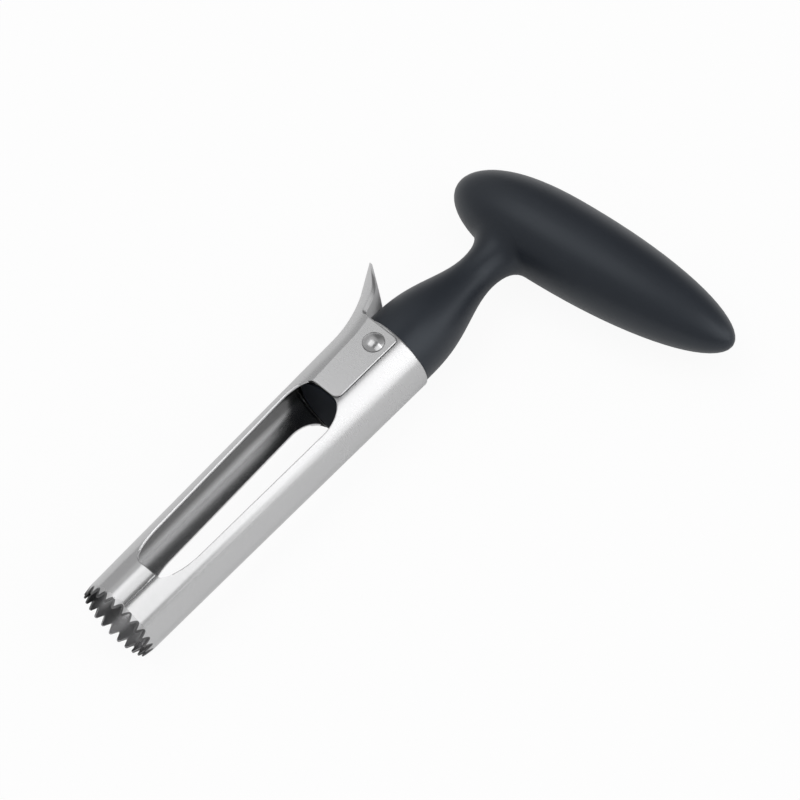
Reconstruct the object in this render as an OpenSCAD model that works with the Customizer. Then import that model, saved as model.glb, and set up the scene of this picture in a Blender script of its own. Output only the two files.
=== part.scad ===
// Apple corer with a T-shaped grip and a barrel that opens.
// The barrel is two steel half shells that meet in one toothed ring. The fixed
// shell is a tube cut away along one side and pressed over the grip's plug.
// The jaw is the other side. Its flat cheeks straddle the tube and turn on a
// rivet, and its tongue is the thumb lever that swings the jaw open.
//
// The shapes below are drawn standing on the teeth: Z runs up the barrel, X
// points to the long end of the bar and Y runs along the rivet. lay_down()
// turns the whole corer on its side, as it lies on a table.

/* [Barrel] */
// Outer diameter of the fixed tube
tube_d = 25.4; // [22:0.1:30]
// Thickness of the steel sheet
sheet = 0.8; // [0.65:0.05:1.2]
// Height of the tube's rim above the tooth tips
tube_h = 116; // [96:0.5:136]
// Rounding of the tube's outer edge at the rim
rim_round = 0.5; // [0.2:0.05:0.5]
// Distance from the barrel's axis to the seam between shell and jaw
seam_x = 3.95; // [2:0.05:5]
// Gap at the seam when the jaw is closed
seam_gap = 0.3; // [0.15:0.05:0.6]

/* [Teeth] */
// Number of teeth round the ring
tooth_n = 24; // [18:1:30]
// Height of a tooth
tooth_h = 2.4; // [1.5:0.05:3]
// Radius of a tooth's rounded tip
tooth_tip_r = 0.55; // [0.2:0.05:0.7]
// Radius at the root of the notch between two teeth
tooth_root_r = 0.25; // [0.1:0.05:0.3]
// Steel ground off the outside of a tooth, at its tip
grind = 0.45; // [0.1:0.05:0.5]
// Height of the ground face on the outside of the teeth
grind_h = 2.8; // [2:0.1:4]

/* [Window] */
// Height of the toothed ring, up to the window's sill
sill_h = 15.5; // [10:0.1:20]
// Distance from the tube's rim down to the window's top edge
window_drop = 26.4; // [25:0.1:36]
// Distance from the axis to the window's edge in the fixed shell
shell_edge = 7.8; // [6.5:0.05:9]
// Height of the window's lower corners
low_corner_h = 13.5; // [8:0.5:20]
// Width of the fixed shell's upper corner
high_corner_w = 5.2; // [3:0.1:6]
// Height of the fixed shell's upper corner
high_corner_h = 10; // [6:0.5:14]

/* [Jaw] */
// How much the jaw's radius grows from the teeth to the bend
jaw_spread = 2.256; // [1.9:0.002:3]
// Distance from the axis to the window's edge in the jaw, just above the sill
jaw_edge_low = 7.4; // [6.5:0.05:8.5]
// Distance from the axis to the window's edge in the jaw, below its top
jaw_edge_high = 9.15; // [8:0.05:10.5]
// Width of the jaw's lower window corner
jaw_low_corner_w = 5; // [3:0.1:6]
// Width of the jaw's upper window corner
jaw_high_corner_w = 5; // [3:0.1:6]
// Height of the jaw's upper window corner
jaw_high_corner_h = 9; // [6:0.5:14]
// Distance from the tube's rim down to the lower edge of the cheeks
cheek_drop = 26.6; // [21:0.1:36]
// Distance from the tube's rim down to the top edge of the cheeks
cheek_short = 1.1; // [-2:0.1:2]
// Distance from the axis to the free edge of a cheek
cheek_edge = 4.5; // [3.5:0.05:5.5]
// Radius of the cheek's lower free corner
cheek_low_r = 2.3; // [1:0.1:3]
// Radius of the cheek's upper free corner
cheek_high_r = 1.4; // [0.8:0.1:2]
// Running clearance between a cheek and the tube
cheek_gap = 0.2; // [0.1:0.05:0.4]

/* [Thumb lever] */
// Distance from the tube's rim down to where the jaw's back starts to bend
bend_drop = 12.5; // [8:0.5:16]
// Radius of the bend, at the back of the jaw
bend_r = 38; // [24:1:45]
// Angle that the lever leans outwards
bend_angle = 30.5; // [20:0.5:32]
// Width of the lever
lever_w = 23; // [18:0.2:25]
// Height of the lever's tip above the tube's rim
lever_rise = 16; // [12:0.2:20]
// Rounding where the lever's edge runs into the cheek's top edge
lever_root_r = 1.4; // [0.6:0.1:2]

/* [Hinge] */
// Distance from the tube's rim down to the middle of the rivet
rivet_drop = 6.4; // [5:0.2:11]
// Distance of the rivet from the barrel's axis, towards the jaw
rivet_offset = 0.4; // [0:0.1:1.5]
// Diameter of the rivet's shank
rivet_d = 4; // [3:0.1:5]
// Diameter of the rivet's heads
rivet_head_d = 6.4; // [6:0.1:8]
// Height of the rivet's domed heads
rivet_head_h = 1.3; // [0.8:0.1:2]
// Radial clearance of the rivet in the jaw, which turns on it
turn_gap = 0.05; // [0.02:0.01:0.08]
// Radial clearance of the rivet in the tube and in the grip
seat_gap = 0.02; // [0.01:0.01:0.05]

/* [Grip] */
// Length of the plug inside the tube
plug_length = 26.9; // [16:0.1:27]
// Radial clearance of the plug in the tube
plug_gap = 0.03; // [0.01:0.01:0.1]
// Lap of the neck's foot on the tube's rim
neck_lap = 0.15; // [0.05:0.05:0.3]
// Radius of the neck at its waist
waist_r = 6.05; // [5:0.05:8]
// Height of the waist above the tube's rim
waist_rise = 34.5; // [30:0.5:38]
// How late the neck narrows, 1 for an even curve
neck_ease = 1.38; // [1:0.02:1.8]
// Reach of the neck's flare along the underside of the bar
flare_reach = 4.5; // [2.5:0.1:6]
// How much thicker than the barrel the bar is, at its thickest place
bar_extra_t = 2.3; // [0:0.1:6]
// How much wider than the barrel the bar is, seen along the barrel
bar_extra_w = 2.3; // [0:0.1:6]
// Height of the bar's centre line above the tube's rim, over the barrel's axis
bar_rise = 55.5; // [54:0.1:64]
// Slope of the bar, up towards its long end
bar_slope = 6.4; // [0:0.2:10]
// Distance from the barrel's axis to the bar's thickest place
bar_mid = 13.4; // [8:0.2:24]
// Distance from the barrel's axis to the tip of the long end
bar_long = 73.3; // [60:0.1:90]
// Distance from the barrel's axis to the tip of the short end
bar_short = 24.6; // [22:0.1:36]
// Fullness of the bar's short end, 2 for an ellipse
full_short = 2.55; // [2:0.01:3]
// Fullness of the bar's long end, 2 for an ellipse
full_long = 2.1; // [1.8:0.05:2.6]

/* [Hidden] */

// Fine enough for round edges, coarse enough for the grip's skin
$fn = 96;
skin_n = 48;
bar_rings = 40;
neck_rings = 18;
flare_rings = 8;
arc_n = 12;
over = 1;

tube_r = tube_d / 2;
tube_in = tube_r - sheet;
plug_r = tube_in - plug_gap;
neck_low_r = tube_in + neck_lap;
rivet_r = rivet_d / 2;
bar_t = tube_d + bar_extra_t;
bar_w = tube_d + bar_extra_w;

// Heights above the tooth tips. All that is near the rim goes with the rim.
window_top = tube_h - window_drop;
cheek_low = tube_h - cheek_drop;
cheek_top = tube_h - cheek_short;
bend_z = tube_h - bend_drop;
lever_top = tube_h + lever_rise;
rivet_z = tube_h - rivet_drop;
plug_low = tube_h - plug_length;
waist_z = tube_h + waist_rise;
bar_z = tube_h + bar_rise;

// The cheeks stand off the tube by their clearance and are one sheet thick.
cheek_in = tube_r + cheek_gap;
cheek_out = cheek_in + sheet;

// The jaw is a shallow cone up to the bend, where its radius stays the same.
jaw_r = tube_r + jaw_spread;
jaw_flare = jaw_spread / bend_z;
bend_axis = jaw_r + bend_r;
// Its cheeks are made this far past the axis and then cut to their edge.
jaw_span = cheek_edge + 4;

head_low = cheek_out + turn_gap;
head_top = head_low + rivet_head_h;

// The bar's centre line climbs to its long end, and its section is an ellipse
// that closes to a point at both ends.
function bar_x(c) = bar_mid + c * (c < 0 ? bar_short + bar_mid : bar_long - bar_mid);
function bar_axis(x) = bar_z + tan(bar_slope) * x;
function bar_place(x) = (x - bar_mid) / (x < bar_mid ? bar_short + bar_mid : bar_long - bar_mid);
function bar_size(x) =
    sqrt(max(0, 1 - pow(abs(bar_place(x)), x < bar_mid ? full_short : full_long)));
function bar_under(x, y) =
    bar_axis(x) - bar_t / 2 * bar_size(x) * sqrt(max(0, 1 - pow(y / (bar_w / 2 * bar_size(x)), 2)));
function bar_ring(x) = [
    for (j = [0:skin_n - 1])
        [x, bar_w / 2 * bar_size(x) * cos(j * 360 / skin_n),
         bar_axis(x) + bar_t / 2 * bar_size(x) * sin(j * 360 / skin_n)]
];
bar_stations = [for (i = [1:bar_rings - 1]) bar_x(-cos(i * 180 / bar_rings))];
bar_top = max([for (x = bar_stations) bar_axis(x) + bar_t / 2 * bar_size(x)]);

// The lever's straight part starts well inside the bend and stands out of its
// skin by a hair, so that its faces cross the bend's and the two are one piece.
lean_lap = 3;
lean_out = 0.05;
lean_run = lever_top - bend_z - bend_r * sin(bend_angle);
lever_reach = jaw_r + bend_r * (1 - cos(bend_angle))
    + lean_run * tan(bend_angle) + lean_out / cos(bend_angle);

// The corer lies on its side with its outermost rivet head at the bottom.
mid_x = (bar_long - max(bar_short, lever_reach)) / 2;
mid_z = bar_top / 2;

module lay_down() {
    translate([-mid_x, -mid_z, head_top]) rotate([-90, 0, 0]) children();
}

// Everything seen in the outline, extruded along the rivet
module along_y(reach) {
    rotate([90, 0, 0]) linear_extrude(height = 2 * reach, center = true) children();
}

// A quarter of an ellipse about centre, from angle a0 to a1
function quarter(centre, w, h, a0, a1) = [
    for (i = [0:arc_n])
        let (a = a0 + (a1 - a0) * i / arc_n)
        [centre[0] + w * cos(a), centre[1] + h * sin(a)]
];

// Notches between the teeth, cut outwards from the barrel's axis. Each has a
// rounded root and straight flanks that run into the rounded tips beside it.
// A notch lies at the middle of the fixed shell.
tooth_pitch = 360 / tooth_n;
half_w = tube_in * tan(tooth_pitch / 2);
flank_rise = tooth_h - tooth_tip_r - tooth_root_r;
flank = atan2(flank_rise, half_w)
    + asin((tooth_tip_r + tooth_root_r) / norm([flank_rise, half_w]));
tip_n = 5;
root_n = 3;

// Half of a tip, from its lowest point up to the flank
tip_arc = [
    for (i = [0:tip_n])
        let (a = flank * i / tip_n)
        [half_w - tooth_tip_r * sin(a), tooth_tip_r * (1 - cos(a))]
];
// Half of a root, from the flank up to its highest point
root_arc = [
    for (i = [0:root_n])
        let (a = flank * (1 - i / root_n))
        [tooth_root_r * sin(a), tooth_h - tooth_root_r * (1 - cos(a))]
];
half_notch = concat([[half_w, -over]], tip_arc, root_arc);

module tooth_notch() {
    rotate([90, 0, 90])
        linear_extrude(height = tube_r + over)
            polygon(concat(
                half_notch,
                [for (i = [len(half_notch) - 2:-1:0]) [-half_notch[i][0], half_notch[i][1]]]));
}

// The notches, and the slant ground round the outside of the teeth
module tooth_cuts() {
    for (i = [0:tooth_n - 1])
        rotate([0, 0, i * tooth_pitch]) tooth_notch();
    slant = grind / grind_h * over;
    rotate_extrude()
        polygon([
            [tube_r - grind - slant, -over], [tube_r + 2 * over, -over],
            [tube_r + 2 * over, grind_h + over], [tube_r + slant, grind_h + over]]);
}

module rivet_bore(r) {
    translate([-rivet_offset, 0, rivet_z])
        rotate([90, 0, 0]) cylinder(r = r, h = 4 * tube_r, center = true);
}

// Fixed shell: a round tube with its rim turned over a little
module tube_wall() {
    rotate_extrude() {
        translate([tube_in, 0]) square([sheet, tube_h - rim_round]);
        translate([tube_in, 0]) square([sheet - rim_round, tube_h]);
        translate([tube_r - rim_round, tube_h - rim_round])
            intersection() {
                circle(r = rim_round);
                square(rim_round);
            }
    }
}

// The side of the tube that is cut away for the jaw and the two windows
module shell_cutaway() {
    along_y(2 * tube_r)
        polygon(concat(
            [[-2 * tube_r, -over], [seam_x, -over]],
            quarter([seam_x, sill_h + low_corner_h], shell_edge - seam_x, low_corner_h, -90, 0),
            quarter([shell_edge - high_corner_w, window_top - high_corner_h],
                    high_corner_w, high_corner_h, 0, 90),
            [[-2 * tube_r, window_top]]));
}

module fixed_shell() {
    color("silver")
        lay_down()
            difference() {
                tube_wall();
                shell_cutaway();
                tooth_cuts();
                rivet_bore(rivet_r + seat_gap);
            }
}

// Jaw: section across its upper part, with the arc of its back at the left
module jaw_section(r, half) {
    intersection() {
        circle(r = r);
        translate([-r, -half]) square([r + jaw_span, 2 * half]);
    }
}

// The jaw's outer form, or the space inside it: a cone, then the bend, then
// the straight lean of the lever, all between two parallel planes
module jaw_form(inset, half) {
    intersection() {
        translate([0, 0, -over])
            cylinder(r1 = tube_r - jaw_flare * over - inset, r2 = jaw_r - inset, h = bend_z + over);
        cube([4 * tube_r, 2 * half, 2 * tube_h], center = true);
    }
    translate([-bend_axis, 0, bend_z])
        rotate([90, 0, 0]) {
            rotate_extrude(angle = bend_angle, $fn = 180)
                translate([bend_axis, 0]) jaw_section(jaw_r - inset, half);
            rotate([0, 0, bend_angle]) rotate([-90, 0, 0]) translate([0, 0, -lean_lap])
                linear_extrude(height = lever_top - bend_z)
                    translate([bend_axis - lean_out, 0]) jaw_section(jaw_r - inset, half);
        }
}

// What is left of the jaw seen along the rivet: the toothed ring's part, the
// strip behind the windows and the cheek with its rounded free corners
module jaw_outline() {
    back = -3 * tube_r;
    edge = seam_x - seam_gap;
    polygon(concat(
        [[back, 0], [edge, 0], [edge, sill_h]],
        quarter([jaw_low_corner_w - jaw_edge_low, sill_h + low_corner_h],
                jaw_low_corner_w, low_corner_h, 270, 180),
        quarter([jaw_high_corner_w - jaw_edge_high, cheek_low - jaw_high_corner_h],
                jaw_high_corner_w, jaw_high_corner_h, 180, 90),
        quarter([cheek_edge - cheek_low_r, cheek_low + cheek_low_r],
                cheek_low_r, cheek_low_r, -90, 0),
        quarter([cheek_edge - cheek_high_r, cheek_top - cheek_high_r],
                cheek_high_r, cheek_high_r, 0, 90),
        [[-jaw_r / 3, cheek_top], [-jaw_r / 3, lever_top + over], [back, lever_top + over]]));
}

// The jaw seen from behind: full width up to the cheeks' top edge, then the
// lever, a tongue with a round end
module lever_outline() {
    half = lever_w / 2;
    translate([-2 * tube_r, -over]) square([4 * tube_r, cheek_top + over]);
    translate([-half, 0]) square([lever_w, lever_top - half]);
    translate([0, lever_top - half]) circle(r = half);
    for (side = [-1, 1])
        translate([side * half, cheek_top])
            difference() {
                translate([-lever_root_r, -lever_root_r]) square(2 * lever_root_r);
                translate([side * lever_root_r, lever_root_r]) circle(r = lever_root_r);
            }
}

module hinged_jaw() {
    color("lightgray")
        lay_down()
            difference() {
                intersection() {
                    jaw_form(0, cheek_out);
                    along_y(2 * tube_r) jaw_outline();
                    rotate([90, 0, 90])
                        linear_extrude(height = 8 * tube_r, center = true) lever_outline();
                }
                jaw_form(sheet, cheek_in);
                tooth_cuts();
                rivet_bore(rivet_r + turn_gap);
            }
}

// Hinge rivet: a shank right through both cheeks, with a domed head each side
module hinge_rivet() {
    dome_r = (pow(rivet_head_d / 2, 2) + pow(rivet_head_h, 2)) / (2 * rivet_head_h);
    color("gainsboro")
        lay_down()
            translate([-rivet_offset, 0, rivet_z])
                rotate([90, 0, 0]) {
                    cylinder(r = rivet_r, h = 2 * head_low, center = true);
                    for (side = [0, 1])
                        mirror([0, 0, side])
                            intersection() {
                                translate([0, 0, head_top - dome_r]) sphere(r = dome_r);
                                translate([0, 0, head_low]) cylinder(r = rivet_head_d, h = rivet_head_h);
                            }
                }
}

// Grip: skins made of rings of skin_n points, closed to a point at each end
module ringed_skin(first, rings, last) {
    n = len(rings);
    points = concat([first], [for (ring = rings) each ring], [last]);
    end = n * skin_n + 1;
    at = function (i, j) 1 + i * skin_n + j % skin_n;
    faces = [
        for (j = [0:skin_n - 1])
            each concat(
                [[0, at(0, j), at(0, j + 1)]],
                [for (i = [0:n - 2]) each [
                    [at(i, j), at(i + 1, j), at(i, j + 1)],
                    [at(i, j + 1), at(i + 1, j), at(i + 1, j + 1)]]],
                [[end, at(n - 1, j + 1), at(n - 1, j)]])
    ];
    polyhedron(points = points, faces = faces, convexity = 6);
}

module bar() {
    ringed_skin([-bar_short, 0, bar_axis(-bar_short)],
                [for (x = bar_stations) bar_ring(x)],
                [bar_long, 0, bar_axis(bar_long)]);
}

// The neck narrows from the tube's rim to its waist.
function neck_r(z) =
    let (v = (z - tube_h) / (waist_z - tube_h))
    waist_r + (neck_low_r - waist_r) * (1 + cos(180 * pow(v, neck_ease))) / 2;

// From the waist it flares into the underside of the bar. In each direction
// the flare is a curve that leaves the waist upright and lands on the bar
// along the slope of the bar's own surface.
flare_r = waist_r + flare_reach;
function under(r, a) = bar_under(r * cos(a), r * sin(a));
function under_slope(r, a) = (under(r + 0.05, a) - under(r - 0.05, a)) / 0.1;
function flare_point(s, a) =
    let (
        top = under(flare_r, a),
        lean = under_slope(flare_r, a),
        p0 = [waist_r, waist_z],
        p1 = [waist_r, waist_z + 0.6 * (top - waist_z)],
        p2 = [flare_r - 0.6 * flare_reach, top - 0.6 * flare_reach * lean],
        p3 = [flare_r, top]
    )
    pow(1 - s, 3) * p0 + 3 * s * pow(1 - s, 2) * p1 + 3 * s * s * (1 - s) * p2 + pow(s, 3) * p3;
function around(r, z, a) = [r * cos(a), r * sin(a), z];

// The last ring runs on a little way under the bar's skin, so the two join.
run_on = 1;
sink = 0.15;
neck_skin = concat(
    [for (i = [0:neck_rings])
        let (z = tube_h + (waist_z - tube_h) * i / neck_rings)
        [for (j = [0:skin_n - 1]) around(neck_r(z), z, j * 360 / skin_n)]],
    [for (i = [1:flare_rings])
        [for (j = [0:skin_n - 1])
            let (a = j * 360 / skin_n, p = flare_point(i / flare_rings, a))
            around(p[0], p[1], a)]],
    [[for (j = [0:skin_n - 1])
        let (a = j * 360 / skin_n, r = flare_r + run_on)
        around(r, under(r, a) + sink, a)]]
);

module neck() {
    ringed_skin([0, 0, tube_h], neck_skin, [0, 0, bar_axis(0)]);
}

module plug() {
    translate([0, 0, plug_low]) cylinder(r = plug_r, h = tube_h - plug_low + over);
}

module handle() {
    color("dimgray")
        lay_down()
            difference() {
                union() {
                    bar();
                    neck();
                    plug();
                }
                rivet_bore(rivet_r + seat_gap);
            }
}

handle();
fixed_shell();
hinged_jaw();
hinge_rivet();
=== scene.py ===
from math import atan2, cos, radians, sin, sqrt, tan

import bmesh
import bpy
from bpy.props import FloatProperty, FloatVectorProperty, PointerProperty
from mathutils import Matrix, Vector


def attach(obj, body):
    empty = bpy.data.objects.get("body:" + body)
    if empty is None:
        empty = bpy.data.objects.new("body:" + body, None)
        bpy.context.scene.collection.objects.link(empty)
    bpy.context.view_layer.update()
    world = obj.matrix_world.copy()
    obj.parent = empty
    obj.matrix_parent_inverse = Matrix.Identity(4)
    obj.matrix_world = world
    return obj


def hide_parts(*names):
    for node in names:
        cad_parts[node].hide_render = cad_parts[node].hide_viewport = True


bl_info = {
    "name": "Apple corer",
    "version": (1, 0, 0),
    "blender": (4, 5, 0),
    "location": "3D View > Sidebar > Apple corer",
    "description": "Finishes the corer's steel barrel, rivet and grip, and sets the studio",
    "category": "Object",
}

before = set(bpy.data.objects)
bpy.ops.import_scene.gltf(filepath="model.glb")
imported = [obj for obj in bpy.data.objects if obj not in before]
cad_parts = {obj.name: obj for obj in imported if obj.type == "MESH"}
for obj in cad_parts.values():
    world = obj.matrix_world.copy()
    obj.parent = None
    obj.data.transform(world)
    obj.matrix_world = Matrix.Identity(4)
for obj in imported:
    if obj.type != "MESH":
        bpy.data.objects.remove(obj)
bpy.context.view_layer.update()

# The barrel lies along Y. Its axis runs through this point, at the tooth tips.
BARREL = Vector((-0.0238, -0.09426, 0.01505))
# Sizes of the steel, in metres. Lengths with Y run from the tooth tips along the
# barrel, and lengths with X from its axis towards the long end of the bar.
TUBE_R = 0.0127  # outer radius of the barrel at the teeth
SPREAD = 0.002256  # growth of the jaw's radius from the teeth to its bend
SHEET = 0.0008  # thickness of the sheet
BEND_Y = 0.1035  # start of the jaw's bend
BEND_R = 0.038  # radius of the bend, at the back of the jaw
BEND_ANGLE = radians(30.5)  # lean of the thumb lever
TEETH = 24  # number of teeth round the barrel
GROUND_Y = 0.00285  # top of the ground band, at the gaps between teeth
GROUND_LOW_Y = 0.0008  # the band's lowest places, on the teeth
RING_Y = 0.014  # upper end of the toothed ring's finish
SEAM_Y = 0.02  # over the upper end of the seam
SEAM_X = 0.00395  # the shell's edge at the seam
SEAM_GAP = 0.0003  # clearance of the solids at the seam
SILL_Y = 0.0185  # lower end of the windows' chamfered sides
WINDOW_TOP_Y = 0.0865  # upper end of the windows' chamfered sides
WINDOW_CHAMFER = 0.00045
CHEEK_FOOT_Y = 0.0875  # below the cheeks and what borders on them
CHEEK_Y = 0.0885  # just below the cheeks and the windows' upper ends
TUBE_Y = 0.1155  # just below the tube's rim
CHEEK_OUT = 0.0137  # distance of a cheek's outer face from the axis
CHEEK_X = -0.0085  # where the cheeks pass into the back of the jaw
CHEEK_CHAMFER = 0.00024
RIVET_Y = 0.1096
RIVET_X = -0.0004
RIVET_R = 0.002
HEAD_R = 0.0034
HEAD_H = 0.0013  # height of a head's dome
HEAD_LOW = 0.01375  # distance of a head's flat side from the axis
HEAD_ROUND = 0.0003  # rounding of a head's rim
CLOSE = 2e-5  # lengths that differ by less are the same
CORNER_REACH = 2e-6  # corners of the solids that are closer than this are one
CHAMFER_REACH = 5e-6  # the same for the corners that the chamfers leave
FOLD = radians(40)  # the grip's edges that turn by less look smooth

# How a face of the sheet is told by its facing, which is 1 straight out from the
# barrel and -1 straight in
WALL = 0.985  # the two walls face out or in by at least this much
CUT = 0.9  # cut edges face out or in by less than this
FLAT = 0.9999  # the flat cheeks face up or down by at least this much

# The finishes of a sheet, in the order in which steel_finishes gives them. The
# inside carries painted shade, the ground teeth and the shear-cut edges are painted
# dark as painted shade and shadow, and the windows' long edges bright as a painted
# highlight.
OUTSIDE, INSIDE, GROUND_AND_SHADE, SHEARED_SHADOW, WINDOW_EDGE_HIGHLIGHT, RING = range(6)

# The camera, as fitted to the photo. It looks down on the barrel, swung to the long
# end of the bar, tipped to the teeth and rolled, so that the barrel stands at a slant.
CAMERA_SWING = radians(26.02)
CAMERA_TIP = radians(16.18)
CAMERA_ROLL = radians(44.22)
CAMERA_REACH = 2.2
CAMERA_LENS = 348.9
# From the tooth tips to the middle of the picture, across and up the picture
AIM_ACROSS = 0.081
AIM_UP = 0.0638

# The soft lamps: the lowest and highest angle that each fills, counted from +X up
# over the barrel, its start and end along Y, its distance and its brightness
LAMPS = (
    # The broad light band down the right of the barrel
    ("right_lamp", (19, 72), (-0.8, 1.2), 2.4, 0.78),
    # The sheen on the grip
    ("grip_lamp", (8, 42), (1.6, 3.8), 2.4, 1.5),
    # The light band further up, where it is brighter, and its lower border there
    ("right_far_lamp", (6, 72), (0.67, 1.3), 2.4, 1.1),
    ("low_far_lamp", (3, 19), (0.67, 1.3), 2.4, 0.9),
    # The left of the barrel, and more so near the teeth
    ("top_lamp", (91, 142), (-0.5, 1.0), 1.2, 0.15),
    ("top_near_lamp", (91, 126), (-0.5, 0.3), 1.2, 0.9),
)
# Lights the dull plastic, and is left out of reflections
FILL_LAMP = ("fill_lamp", (60, 120), (-1.0, 1.0), 2.0, 0.6)

# How much of the floor glows plain white, to the camera and in reflections
FLOOR_SEEN = 0.93
FLOOR_MIRRORED = 0.25


# ------------------------------------------------------------- settings


class SteelSettings(bpy.types.PropertyGroup):
    """The sheet steel of the barrel and the rivet."""

    colour: FloatVectorProperty(
        name="Steel colour",
        description="Colour of the polished outside of the barrel",
        subtype="COLOR",
        size=3,
        min=0,
        max=1,
        default=(0.57, 0.57, 0.575),
    )
    inner_colour: FloatVectorProperty(
        name="Inner colour",
        description="Colour of the duller inside of the barrel",
        subtype="COLOR",
        size=3,
        min=0,
        max=1,
        default=(0.64, 0.64, 0.645),
    )
    roughness: FloatProperty(
        name="Roughness",
        description="How far the satin finish spreads a reflection",
        subtype="FACTOR",
        min=0,
        max=1,
        default=0.18,
    )
    edge: FloatProperty(
        name="Edge rounding",
        description="Radius of the rounded look of the barrel's deburred edges",
        unit="LENGTH",
        min=0,
        max=0.0006,
        default=0.0004,
    )
    seam: FloatProperty(
        name="Seam",
        description="Width of the seam that shows between the two halves of the toothed ring",
        unit="LENGTH",
        min=0.00005,
        max=0.0003,
        default=0.0001,
    )


class GripSettings(bpy.types.PropertyGroup):
    """The moulded grip."""

    colour: FloatVectorProperty(
        name="Grip colour",
        description="Colour of the soft-touch plastic",
        subtype="COLOR",
        size=3,
        min=0,
        max=1,
        default=(0.0105, 0.013, 0.0185),
    )
    roughness: FloatProperty(
        name="Roughness",
        description="How matte the plastic is",
        subtype="FACTOR",
        min=0,
        max=1,
        default=0.4,
    )
    grain: FloatProperty(
        name="Grain size",
        description="Size of one grain of the moulded texture",
        unit="LENGTH",
        min=0.0001,
        max=0.002,
        default=0.0005,
    )


class StudioSettings(bpy.types.PropertyGroup):
    """The floor, the lamps and the room."""

    floor: FloatVectorProperty(
        name="Floor colour",
        description="Colour of the floor under the corer",
        subtype="COLOR",
        size=3,
        min=0,
        max=1,
        default=(0.84, 0.84, 0.84),
    )
    room: FloatProperty(
        name="Room brightness",
        description="Brightness of the room round the lamps",
        min=0,
        max=2,
        default=0.57,
    )
    lamps: FloatProperty(
        name="Lamp brightness",
        description="How far the soft lamps stand out from the room",
        min=0,
        max=4,
        default=0.84,
    )


# ------------------------------------------------------------ materials


class Value:
    """A socket of a node tree that adds up like a number."""

    def __init__(self, tree, socket):
        self.tree = tree
        self.socket = socket

    def _maths(self, operation, *terms):
        node = self.tree.nodes.new("ShaderNodeMath")
        node.operation = operation
        for target, term in zip(node.inputs, terms):
            join(self.tree, target, term)
        return Value(self.tree, node.outputs[0])

    def __add__(self, other):
        return self._maths("ADD", self, other)

    __radd__ = __add__

    def __sub__(self, other):
        return self._maths("SUBTRACT", self, other)

    def __rsub__(self, other):
        return self._maths("SUBTRACT", other, self)

    def __mul__(self, other):
        return self._maths("MULTIPLY", self, other)

    __rmul__ = __mul__

    def at_most(self, other):
        return self._maths("MINIMUM", self, other)

    def at_least(self, other):
        return self._maths("MAXIMUM", self, other)

    def size(self):
        return self._maths("ABSOLUTE", self)

    def cosine(self):
        return self._maths("COSINE", self)

    def angle_over(self, other):
        return self._maths("ARCTAN2", self, other)


def join(tree, target, value):
    """Links a Value to a socket, or sets a plain value on it."""
    if isinstance(value, Value):
        tree.links.new(value.socket, target)
    else:
        target.default_value = value


class Recipe:
    """The node tree of one material or world."""

    def __init__(self, owner):
        owner.use_nodes = True
        self.tree = owner.node_tree
        self.tree.nodes.clear()

    def add(self, kind, settings=None, sockets=None, out=0):
        """Adds a node with its settings and sockets, and returns one of its outputs."""
        node = self.tree.nodes.new(kind)
        for name, value in (settings or {}).items():
            setattr(node, name, value)
        for name, value in (sockets or {}).items():
            join(self.tree, node.inputs[name], value)
        return Value(self.tree, node.outputs[out]) if node.outputs else None

    def place(self, scale):
        """The place on the object in metres, times scale in each direction."""
        point = self.add("ShaderNodeTexCoord", out="Object")
        return self.add("ShaderNodeMapping", sockets={"Vector": point, "Scale": scale})

    def along(self, axis):
        """The place on the object along one axis, in metres."""
        point = self.add("ShaderNodeTexCoord", out="Object")
        return self.add("ShaderNodeSeparateXYZ", sockets={"Vector": point}, out=axis)

    def noise(self, scale, detail):
        """Soft noise from 0 to 1 whose grains are 1 / scale long."""
        return self.add(
            "ShaderNodeTexNoise",
            sockets={"Vector": self.place(scale), "Scale": 1.0, "Detail": detail},
        )

    def ramp(self, value, low, high, at_low, at_high):
        """Goes softly from at_low to at_high as value goes from low to high."""
        return self.add(
            "ShaderNodeMapRange",
            {"interpolation_type": "SMOOTHSTEP"},
            {
                "Value": value,
                "From Min": low,
                "From Max": high,
                "To Min": at_low,
                "To Max": at_high,
            },
        )

    def blend(self, factor, first, second):
        """A colour between two colours, by a Mix node's sockets for colours."""
        return self.add(
            "ShaderNodeMix",
            {"data_type": "RGBA"},
            {"Factor": factor, 6: first, 7: second},
            out=2,
        )

    def bump(self, height, strength, distance, edge=0):
        """Fine relief, over edges that are rounded to the radius edge."""
        sockets = {"Height": height, "Strength": strength, "Distance": distance}
        if edge:
            sockets["Normal"] = self.add(
                "ShaderNodeBevel", {"samples": 8}, {"Radius": edge}
            )
        return self.add("ShaderNodeBump", sockets=sockets)

    def surface(self, **sockets):
        """A Principled surface; the names' underscores stand for spaces."""
        shader = self.add(
            "ShaderNodeBsdfPrincipled",
            sockets={name.replace("_", " "): value for name, value in sockets.items()},
        )
        self.finish(shader)

    def finish(self, shader):
        self.add("ShaderNodeOutputMaterial", sockets={"Surface": shader})


def rgba(colour, scale=1.0):
    """A colour, made darker or lighter by scale, for a colour socket."""
    return (colour[0] * scale, colour[1] * scale, colour[2] * scale, 1.0)


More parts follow.
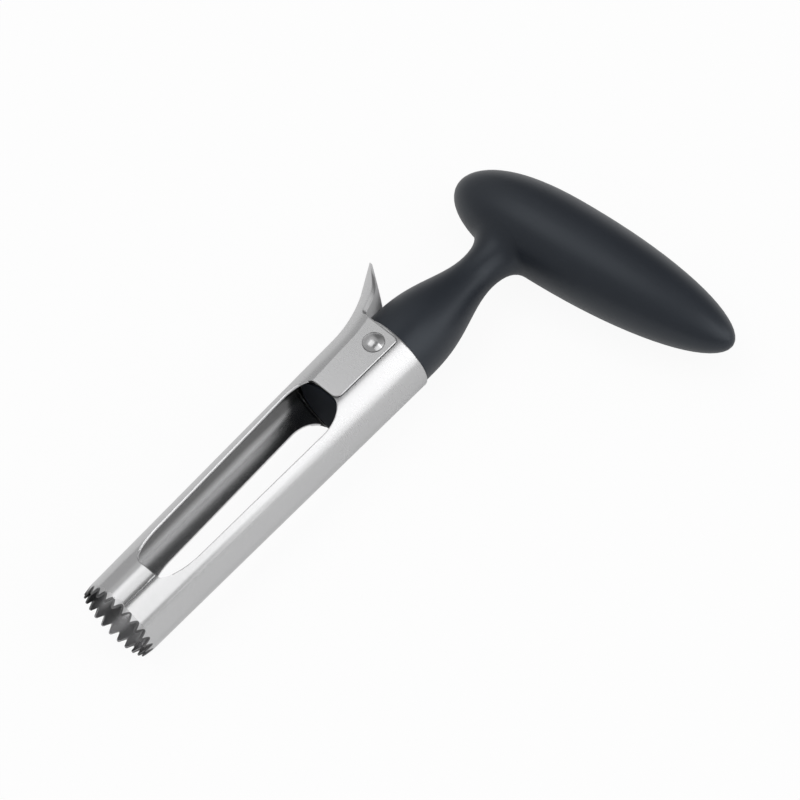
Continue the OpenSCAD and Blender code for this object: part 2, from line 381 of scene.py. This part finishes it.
def steel_material(name, colour, roughness, brush, edge, coarser=0.0, painted_shade=1.0, above=None):
    """Satin steel: fine brush lines, a fine speckle and a faint cloudiness.

    The grains of brush are one over its three numbers long. The roughness grows by
    coarser from the teeth up to the grip. With a painted-shade factor below 1, the
    steel is painted darker by that factor along the barrel's middle, and partly so all
    round near the plug, as painted shade. With a colour for above, the steel has that
    colour over a row of arches, one at each gap between two teeth, and keeps its own
    colour below them, which for the ground teeth is a painted shade.
    """
    material = bpy.data.materials.new(name)
    recipe = Recipe(material)
    lines = recipe.noise(brush, 4.0)
    cloud = recipe.noise((90.0, 45.0, 90.0), 3.0)
    speck = recipe.noise((1500.0, 1500.0, 1500.0), 2.0)
    pattern = cloud * 0.25 + lines * 0.25 + speck * 0.5
    tone = recipe.blend(pattern, rgba(colour, 0.91), rgba(colour, 1.09))
    if painted_shade < 1:
        height = (recipe.along("Z") - BARREL.z).size()
        # Painted shade near the plug, 64 to 88 mm over the teeth
        plug_shade = recipe.ramp(recipe.along("Y"), -0.03, -0.006, 0.0, 0.4)
        # Painted shade along the barrel's middle, joined with the painted shade near the plug
        middle = (recipe.ramp(height, 0.0025, 0.006, 1.0, 0.0) + plug_shade).at_most(1.0)
        tone = recipe.blend(middle, tone, rgba(colour, painted_shade))
    # Over the arches the steel keeps the colour above; under them stays its own colour, which for
    # the ground teeth is a painted shade
    if above is not None:
        turn = (recipe.along("Z") - BARREL.z).angle_over(recipe.along("X") - BARREL.x)
        rise = (turn * (TEETH / 2)).cosine().size()
        arch = rise * (GROUND_Y - GROUND_LOW_Y) + GROUND_LOW_Y
        over = recipe.along("Y") - BARREL.y - arch
        outside = recipe.ramp(over, -0.00005, 0.00005, 0.0, 1.0)
        tone = recipe.blend(outside, tone, rgba(above))
    # Upwards, 24 to 94 mm over the teeth
    upper = recipe.ramp(recipe.along("Y"), -0.07, 0.0, 0.0, coarser)
    recipe.surface(
        Base_Color=tone,
        Metallic=1.0,
        Roughness=upper + roughness + (lines - 0.5) * 0.05 + (cloud - 0.5) * 0.06,
        Normal=recipe.bump(lines * 0.6 + speck * 0.4, 0.06, 0.00002, edge),
    )
    return material


def grip_material(name, colour, grain, roughness, shine):
    """Matte plastic: a fine moulded grain over a very slight unevenness.

    Its sheen is as strong as that of a common plastic where shine is 0.5.
    """
    material = bpy.data.materials.new(name)
    recipe = Recipe(material)
    fine = 1.0 / grain
    relief = recipe.noise((fine, fine, fine), 4.0)
    rub = recipe.noise((45.0, 45.0, 45.0), 3.0)
    pattern = relief * 0.5 + rub * 0.5
    recipe.surface(
        Base_Color=recipe.blend(pattern, rgba(colour, 0.75), rgba(colour, 1.25)),
        Roughness=roughness + (rub - 0.5) * 0.12 + (relief - 0.5) * 0.1,
        Specular_IOR_Level=shine,
        Specular_Tint=(0.86, 0.93, 1.0, 1.0),
        Normal=recipe.bump(relief, 0.3, 0.00004),
    )
    return material


# --------------------------------------------------------------- pieces


def join_corners(shape, reach):
    """Joins corners that lie within reach of each other and drops what that leaves empty."""
    bmesh.ops.remove_doubles(shape, verts=shape.verts, dist=reach)
    bmesh.ops.dissolve_degenerate(shape, dist=reach, edges=shape.edges)


def merged_copy(node):
    """A CAD node's shape with its corners joined, ready to be worked on."""
    shape = bmesh.new()
    shape.from_mesh(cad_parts[node].data)
    join_corners(shape, CORNER_REACH)
    for face in shape.faces:
        face.smooth = True
    return shape


def new_piece(shape, name, node, body, materials):
    """Makes the worked shape a piece that stands for the CAD node."""
    mesh = bpy.data.meshes.new(name)
    shape.to_mesh(mesh)
    shape.free()
    for attribute in list(mesh.attributes):
        if "normal" in attribute.name:
            mesh.attributes.remove(attribute)
    for material in materials:
        mesh.materials.append(material)
    piece = bpy.data.objects.new(name, mesh)
    bpy.context.scene.collection.objects.link(piece)
    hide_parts(node)
    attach(piece, body)
    return piece


def tube_out(point):
    """The way out from the barrel's axis at a point, for the straight tube."""
    out = point - BARREL
    out.y = 0
    return out.normalized()


def jaw_out(point):
    """The way out of the jaw's sheet at a point: a cone, its bend, then its lean."""
    place = point - BARREL
    centre = TUBE_R + SPREAD + BEND_R
    if place.y < BEND_Y:
        out = Vector((place.x, 0, place.z)).normalized()
        out.y = -SPREAD / BEND_Y
        return out.normalized()
    reach = Vector((place.x + centre, place.y - BEND_Y))
    turn = min(max(atan2(reach.y, reach.x), 0), BEND_ANGLE)
    across = reach.x * cos(turn) + reach.y * sin(turn) - centre
    size = sqrt(across * across + place.z * place.z)
    return Vector((across * cos(turn), across * sin(turn), place.z)) / size


def chamfer(shape, edges, width):
    """Breaks sharp edges with one flat face of this width along each side."""
    bmesh.ops.bevel(
        shape, geom=edges, offset=width, segments=1, profile=0.5, affect="EDGES", material=-1
    )


def chamfer_cheeks(shape):
    """Breaks the outer edge of the two flat cheeks with a chamfer."""

    def on_cheek(face):
        height = abs(face.calc_center_median().z - BARREL.z)
        return abs(face.normal.z) > FLAT and abs(height - CHEEK_OUT) < CLOSE

    near = [
        face for face in shape.faces
        if face.calc_center_median().y > BARREL.y + CHEEK_FOOT_Y
        and abs(face.calc_center_median().z - BARREL.z) > CHEEK_OUT - SHEET
    ]
    # Joins the flats' many triangles first, so that the chamfer runs evenly
    bmesh.ops.dissolve_limit(
        shape,
        angle_limit=radians(0.1),
        use_dissolve_boundaries=False,
        delimit=set(),
        verts=list({point for face in near for point in face.verts}),
        edges=list({edge for face in near for edge in face.edges}),
    )
    rivet = BARREL + Vector((RIVET_X, RIVET_Y, 0))
    outline = []
    for edge in shape.edges:
        flats = [on_cheek(face) for face in edge.link_faces]
        upright = any(abs(face.normal.z) < 0.1 for face in edge.link_faces)
        away = edge.verts[0].co - rivet
        away.z = 0
        if flats.count(True) == 1 and upright and away.length > HEAD_R:
            outline.append(edge)
    chamfer(shape, outline, CHEEK_CHAMFER)


def chamfer_windows(shape):
    """Breaks the outer edge of the jaw's long window sides with a chamfer."""
    outline = []
    for edge in shape.edges:
        lengths = [point.co.y - BARREL.y for point in edge.verts]
        facings = sorted(
            face.normal.dot(jaw_out(face.calc_center_median())) for face in edge.link_faces
        )
        along = min(lengths) > SILL_Y and max(lengths) < WINDOW_TOP_Y
        if along and len(facings) == 2 and facings[1] > WALL and abs(facings[0]) < CUT:
            outline.append(edge)
    chamfer(shape, outline, WINDOW_CHAMFER)


def close_seam(shape, width):
    """Moves the jaw's edge to the shell's at the seam, up to the width that shows."""
    edge = BARREL.x + SEAM_X - SEAM_GAP
    for point in shape.verts:
        if abs(point.co.x - edge) < CLOSE and point.co.y < BARREL.y + SEAM_Y:
            point.co.x += SEAM_GAP - width


def sheet_finish(face, facing):
    """Which of the finishes a face of the sheet has, by its place and its facing."""
    length = face.center.y - BARREL.y
    height = abs(face.center.z - BARREL.z)
    on_cheek = height > CHEEK_OUT - SHEET and face.center.x > BARREL.x + CHEEK_X
    cheek_edge = on_cheek and abs(face.normal.z) < 0.3
    window_top = abs(facing) < 0.5 and face.normal.y < -0.5
    if facing < -CUT and length < BEND_Y:
        return INSIDE
    # The ground band over the teeth: real grinding, painted dark as painted shade
    if length < GROUND_Y and facing < 0.995:
        return GROUND_AND_SHADE
    # The shear-cut edges of the cheeks and the windows' tops, painted nearly black as a painted
    # shadow
    if CHEEK_Y < length < TUBE_Y and (cheek_edge or window_top):
        return SHEARED_SHADOW
    # The windows' long cut edges, painted bright as a painted highlight
    if abs(facing) < CUT and length < CHEEK_Y:
        return WINDOW_EDGE_HIGHLIGHT
    return RING if length < RING_Y else OUTSIDE


def smooth_walls(piece, out_at, flat_at=()):
    """Gives a sheet's faces their finish, and shades its two walls as true curves.

    Cut edges, ground teeth and the flats, which lie at the heights flat_at above and
    below the barrel's axis, are shaded as flat.
    """
    mesh = piece.data
    normals = [Vector()] * len(mesh.loops)
    for face in mesh.polygons:
        facing = face.normal.dot(out_at(face.center))
        face.material_index = sheet_finish(face, facing)
        height = abs(face.center.z - BARREL.z)
        flat = abs(face.normal.z) > FLAT and any(
            abs(height - depth) < CLOSE for depth in flat_at
        )
        curved = abs(facing) > WALL and not flat and face.material_index != GROUND_AND_SHADE
        for index, corner in zip(face.loop_indices, face.vertices):
            if curved:
                normals[index] = out_at(mesh.vertices[corner].co) * (1 if facing > 0 else -1)
            else:
                normals[index] = face.normal
    mesh.normals_split_custom_set(normals)


def steel_finishes(name, settings):
    """The finishes of one sheet: the outside; the duller inside, with painted shade along
    its middle and near the plug; the ground teeth, painted dark under their arches as
    painted shade; the shear-cut edges of the cheeks and the windows' tops, painted
    nearly black as a painted shadow; the long edges of the windows, painted bright as a
    painted highlight; and the toothed ring, whose seam stays sharp."""
    brush = (350.0, 2600.0, 350.0)
    ground = (2600.0, 350.0, 2600.0)
    colour, inner = settings.colour, settings.inner_colour
    rough, edge, sharp = settings.roughness, settings.edge, 0
    return (
        steel_material(name, colour, rough, brush, edge, coarser=0.1),
        # The inside, with painted shade at 37% brightness along its middle and near the plug
        steel_material(name + "_inside", inner, rough + 0.03, brush, edge, painted_shade=0.37),
        # The ground teeth: a real ground band, painted at 22% as painted shade, under arches of
        # the outside's colour
        steel_material(name + "_ground", rgba(colour, 0.22), 0.3, ground, sharp, above=colour),
        # Shear-cut edges, painted at 4% as a painted shadow of the gap beside them
        steel_material(name + "_sheared_shadow", rgba(colour, 0.04), 0.4, ground, sharp),
        # The windows' long edges, painted 1.7 times as bright as a painted highlight
        steel_material(name + "_window_edge_highlight", rgba(colour, 1.7), 0.5, brush, sharp),
        steel_material(name + "_ring", colour, rough, brush, sharp),
    )


class CORER_OT_fixed_shell(bpy.types.Operator):
    """Makes the fixed half of the barrel, a steel tube under the grip"""

    bl_idname = "corer.fixed_shell"
    bl_label = "Fixed shell"

    def execute(self, context):
        settings = context.scene.corer_steel
        shape = merged_copy("fixed_shell")
        piece = new_piece(shape, "barrel_shell", "fixed_shell", "grip",
                          steel_finishes("shell_steel", settings))
        smooth_walls(piece, tube_out)
        return {"FINISHED"}


class CORER_OT_hinged_jaw(bpy.types.Operator):
    """Makes the jaw, with its cheeks and thumb lever"""

    bl_idname = "corer.hinged_jaw"
    bl_label = "Hinged jaw"

    def execute(self, context):
        settings = context.scene.corer_steel
        shape = merged_copy("hinged_jaw")
        close_seam(shape, settings.seam)
        chamfer_cheeks(shape)
        chamfer_windows(shape)
        join_corners(shape, CHAMFER_REACH)
        piece = new_piece(shape, "lever_jaw", "hinged_jaw", "jaw",
                          steel_finishes("jaw_steel", settings))
        smooth_walls(piece, jaw_out, (CHEEK_OUT, CHEEK_OUT - SHEET))
        return {"FINISHED"}


class CORER_OT_hinge_rivet(bpy.types.Operator):
    """Makes the polished rivet that the jaw turns on, with a domed head at each end"""

    bl_idname = "corer.hinge_rivet"
    bl_label = "Hinge rivet"

    def execute(self, context):
        steel = context.scene.corer_steel
        dome = (HEAD_R ** 2 + HEAD_H ** 2) / (2 * HEAD_H)
        shape = bmesh.new()
        bmesh.ops.create_uvsphere(
            shape, u_segments=64, v_segments=96, radius=dome,
            matrix=Matrix.Translation((0, 0, HEAD_LOW + HEAD_H - dome)),
        )
        bmesh.ops.bisect_plane(
            shape, geom=shape.verts[:] + shape.edges[:] + shape.faces[:], dist=1e-7,
            plane_co=(0, 0, HEAD_LOW), plane_no=(0, 0, 1), clear_inner=True,
        )
        rim = [edge for edge in shape.edges if edge.is_boundary]
        bmesh.ops.edgeloop_fill(shape, edges=rim)
        bmesh.ops.bevel(
            shape, geom=rim, offset=HEAD_ROUND, segments=4, profile=0.5, affect="EDGES",
            material=-1,
        )
        head = shape.verts[:] + shape.edges[:] + shape.faces[:]
        other = bmesh.ops.duplicate(shape, geom=head)
        turned = [each for each in other["geom"] if isinstance(each, bmesh.types.BMVert)]
        bmesh.ops.rotate(
            shape, verts=turned, cent=(0, 0, 0), matrix=Matrix.Rotation(radians(180), 3, "X")
        )
        bmesh.ops.create_cone(
            shape, cap_ends=True, segments=64, radius1=RIVET_R, radius2=RIVET_R,
            depth=2 * HEAD_LOW,
        )
        place = BARREL + Vector((RIVET_X, RIVET_Y, 0))
        bmesh.ops.translate(shape, verts=shape.verts, vec=place)
        bmesh.ops.recalc_face_normals(shape, faces=shape.faces)
        for face in shape.faces:
            face.smooth = len(face.verts) < 5
        polished = steel_material(
            "polished_rivet", steel.colour, roughness=0.21, brush=(900.0, 900.0, 900.0), edge=0
        )
        new_piece(shape, "rivet", "hinge_rivet", "grip", [polished])
        return {"FINISHED"}


class CORER_OT_grip(bpy.types.Operator):
    """Makes the moulded grip: the bar, the neck and the plug in the tube"""

    bl_idname = "corer.grip"
    bl_label = "Grip"

    def execute(self, context):
        settings = context.scene.corer_grip
        shape = merged_copy("handle")
        for edge in shape.edges:
            edge.smooth = edge.calc_face_angle(0.0) < FOLD
        for face in shape.faces:
            # The plug in the tube has the second plastic
            face.material_index = int(face.calc_center_median().y < BARREL.y + TUBE_Y)
        grain = settings.grain
        piece = new_piece(shape, "grip_body", "handle", "grip", [
            grip_material("soft_plastic", settings.colour, grain, settings.roughness, shine=0.52),
            grip_material("plug_plastic", settings.colour, grain, roughness=0.8, shine=0.2),
        ])
        even = piece.modifiers.new("even_shading", "WEIGHTED_NORMAL")
        even.keep_sharp = True
        return {"FINISHED"}


# ---------------------------------------------------------------- stage


def soft_lamp(name, angles, lengths, reach, brightness, level):
    """A soft lamp alongside the barrel, which faces its axis from the distance reach.

    It fills the angles from +X up over the barrel and the lengths along Y. Its
    brightness is multiplied by level, which all lamps share.
    """
    middle = radians(sum(angles) / 2)
    half = radians((angles[1] - angles[0]) / 2)
    away = Vector((cos(middle), 0, sin(middle)))
    along = Vector((0, 1, 0))
    lamp = bpy.data.lights.new(name, "AREA")
    lamp.shape = "RECTANGLE"
    lamp.size = 2 * reach * tan(half)
    lamp.size_y = lengths[1] - lengths[0]
    # Power is counted so that a mirror shows the lamp at its brightness
    lamp.energy = 4 * lamp.size * lamp.size_y * (brightness * level)
    thing = bpy.data.objects.new(name, lamp)
    thing.location = BARREL + away * reach
    thing.location.y = sum(lengths) / 2
    thing.rotation_euler = Matrix((along.cross(away), along, away)).transposed().to_euler()
    thing.visible_camera = False
    bpy.context.scene.collection.objects.link(thing)
    return thing


class CORER_OT_studio(bpy.types.Operator):
    """Sets the floor, the lamps, the room and the camera"""

    bl_idname = "corer.studio"
    bl_label = "Studio"

    def execute(self, context):
        studio = context.scene.corer_studio
        self.floor(studio)
        for lamp in LAMPS:
            soft_lamp(*lamp, studio.lamps)
        fill = soft_lamp(*FILL_LAMP, studio.lamps)
        fill.visible_glossy = False
        self.room(context.scene, studio)
        self.camera(context.scene)
        context.scene.view_settings.view_transform = "Standard"
        return {"FINISHED"}

    def floor(self, studio):
        shape = bmesh.new()
        bmesh.ops.create_grid(shape, x_segments=1, y_segments=1, size=8)
        mesh = bpy.data.meshes.new("floor")
        shape.to_mesh(mesh)
        shape.free()
        material = bpy.data.materials.new("floor")
        recipe = Recipe(material)
        colour = rgba(studio.floor)
        seen, shiny, clear = [
            recipe.add("ShaderNodeLightPath", out=ray)
            for ray in ("Is Camera Ray", "Is Glossy Ray", "Is Transmission Ray")
        ]
        mirrored = (shiny + clear).at_most(1.0)
        share = (seen * FLOOR_SEEN).at_least(mirrored * FLOOR_MIRRORED)
        recipe.finish(
            recipe.add(
                "ShaderNodeMixShader",
                sockets={
                    0: share,
                    1: recipe.add("ShaderNodeBsdfDiffuse", sockets={"Color": colour}),
                    2: recipe.add("ShaderNodeEmission", sockets={"Strength": 1.0}),
                },
            )
        )
        mesh.materials.append(material)
        floor = bpy.data.objects.new("floor", mesh)
        bpy.context.scene.collection.objects.link(floor)

    def room(self, scene, studio):
        world = bpy.data.worlds.new("room")
        scene.world = world
        recipe = Recipe(world)
        point = recipe.add("ShaderNodeTexCoord", out="Generated")
        side, back, height = [
            recipe.add("ShaderNodeSeparateXYZ", sockets={"Vector": point}, out=axis)
            for axis in "XYZ"
        ]
        # Low on the right the room is nearly as bright as the floor, and over that a
        # darker gap parts it from the lamps
        right = recipe.ramp(side, -0.3, 0.3, 0.0, 1.0)
        low = recipe.ramp(height, 0.08, 0.15, 1.0, 0.0) * right * (0.85 - studio.room)
        gap = recipe.ramp(height, 0.13, 0.18, 0.0, 0.35)
        gap = gap * recipe.ramp(height, 0.23, 0.28, 1.0, 0.0)
        # It is a little brighter far out on the left, and darker straight overhead
        # and beyond the grip
        left = recipe.ramp(side, -0.8, -0.5, 0.1, 0.0)
        zenith = recipe.ramp(height, 0.89, 0.93, 0.0, 0.3)
        flag = recipe.ramp(back, 0.4, 0.7, 0.0, 0.3) * (1.0 - right)
        strength = low + left + studio.room - gap * right - zenith - flag
        light = recipe.add("ShaderNodeBackground", sockets={"Strength": strength})
        recipe.add("ShaderNodeOutputWorld", sockets={"Surface": light})

    def camera(self, scene):
        toward = Vector((
            sin(CAMERA_SWING) * cos(CAMERA_TIP),
            -sin(CAMERA_TIP),
            cos(CAMERA_SWING) * cos(CAMERA_TIP),
        ))
        along = (Vector((0, 1, 0)) - toward * toward.y).normalized()
        across = along.cross(toward)
        right = cos(CAMERA_ROLL) * along + sin(CAMERA_ROLL) * across
        up = sin(CAMERA_ROLL) * along - cos(CAMERA_ROLL) * across
        lens = bpy.data.cameras.new("camera")
        lens.sensor_width = 36
        lens.lens = CAMERA_LENS
        lens.clip_start = 0.1
        lens.clip_end = 100
        camera = bpy.data.objects.new("camera", lens)
        camera.location = BARREL + AIM_ACROSS * right + AIM_UP * up + CAMERA_REACH * toward
        camera.rotation_mode = "QUATERNION"
        camera.rotation_quaternion = Matrix((right, up, toward)).transposed().to_quaternion()
        scene.collection.objects.link(camera)
        scene.camera = camera


class CORER_PT_sidebar(bpy.types.Panel):
    """Lists the corer's pieces, sizes and studio"""

    bl_idname = "CORER_PT_sidebar"
    bl_label = "Apple corer"
    bl_space_type = "VIEW_3D"
    bl_region_type = "UI"
    bl_category = "Apple corer"

    def draw(self, context):
        for settings, operators in (
            (context.scene.corer_grip, (CORER_OT_grip,)),
            (context.scene.corer_steel,
             (CORER_OT_fixed_shell, CORER_OT_hinged_jaw, CORER_OT_hinge_rivet)),
            (context.scene.corer_studio, (CORER_OT_studio,)),
        ):
            box = self.layout.box()
            for name in settings.__annotations__:
                box.prop(settings, name)
            for operator in operators:
                box.operator(operator.bl_idname)


CLASSES = (
    SteelSettings,
    GripSettings,
    StudioSettings,
    CORER_OT_grip,
    CORER_OT_fixed_shell,
    CORER_OT_hinged_jaw,
    CORER_OT_hinge_rivet,
    CORER_OT_studio,
    CORER_PT_sidebar,
)


def register():
    for each in CLASSES:
        bpy.utils.register_class(each)
    bpy.types.Scene.corer_steel = PointerProperty(type=SteelSettings)
    bpy.types.Scene.corer_grip = PointerProperty(type=GripSettings)
    bpy.types.Scene.corer_studio = PointerProperty(type=StudioSettings)


def unregister():
    del bpy.types.Scene.corer_studio
    del bpy.types.Scene.corer_grip
    del bpy.types.Scene.corer_steel
    for each in reversed(CLASSES):
        bpy.utils.unregister_class(each)


def main():
    register()
    bpy.ops.corer.grip()
    bpy.ops.corer.fixed_shell()
    bpy.ops.corer.hinged_jaw()
    bpy.ops.corer.hinge_rivet()
    bpy.ops.corer.studio()


if __name__ == "__main__":
    main()
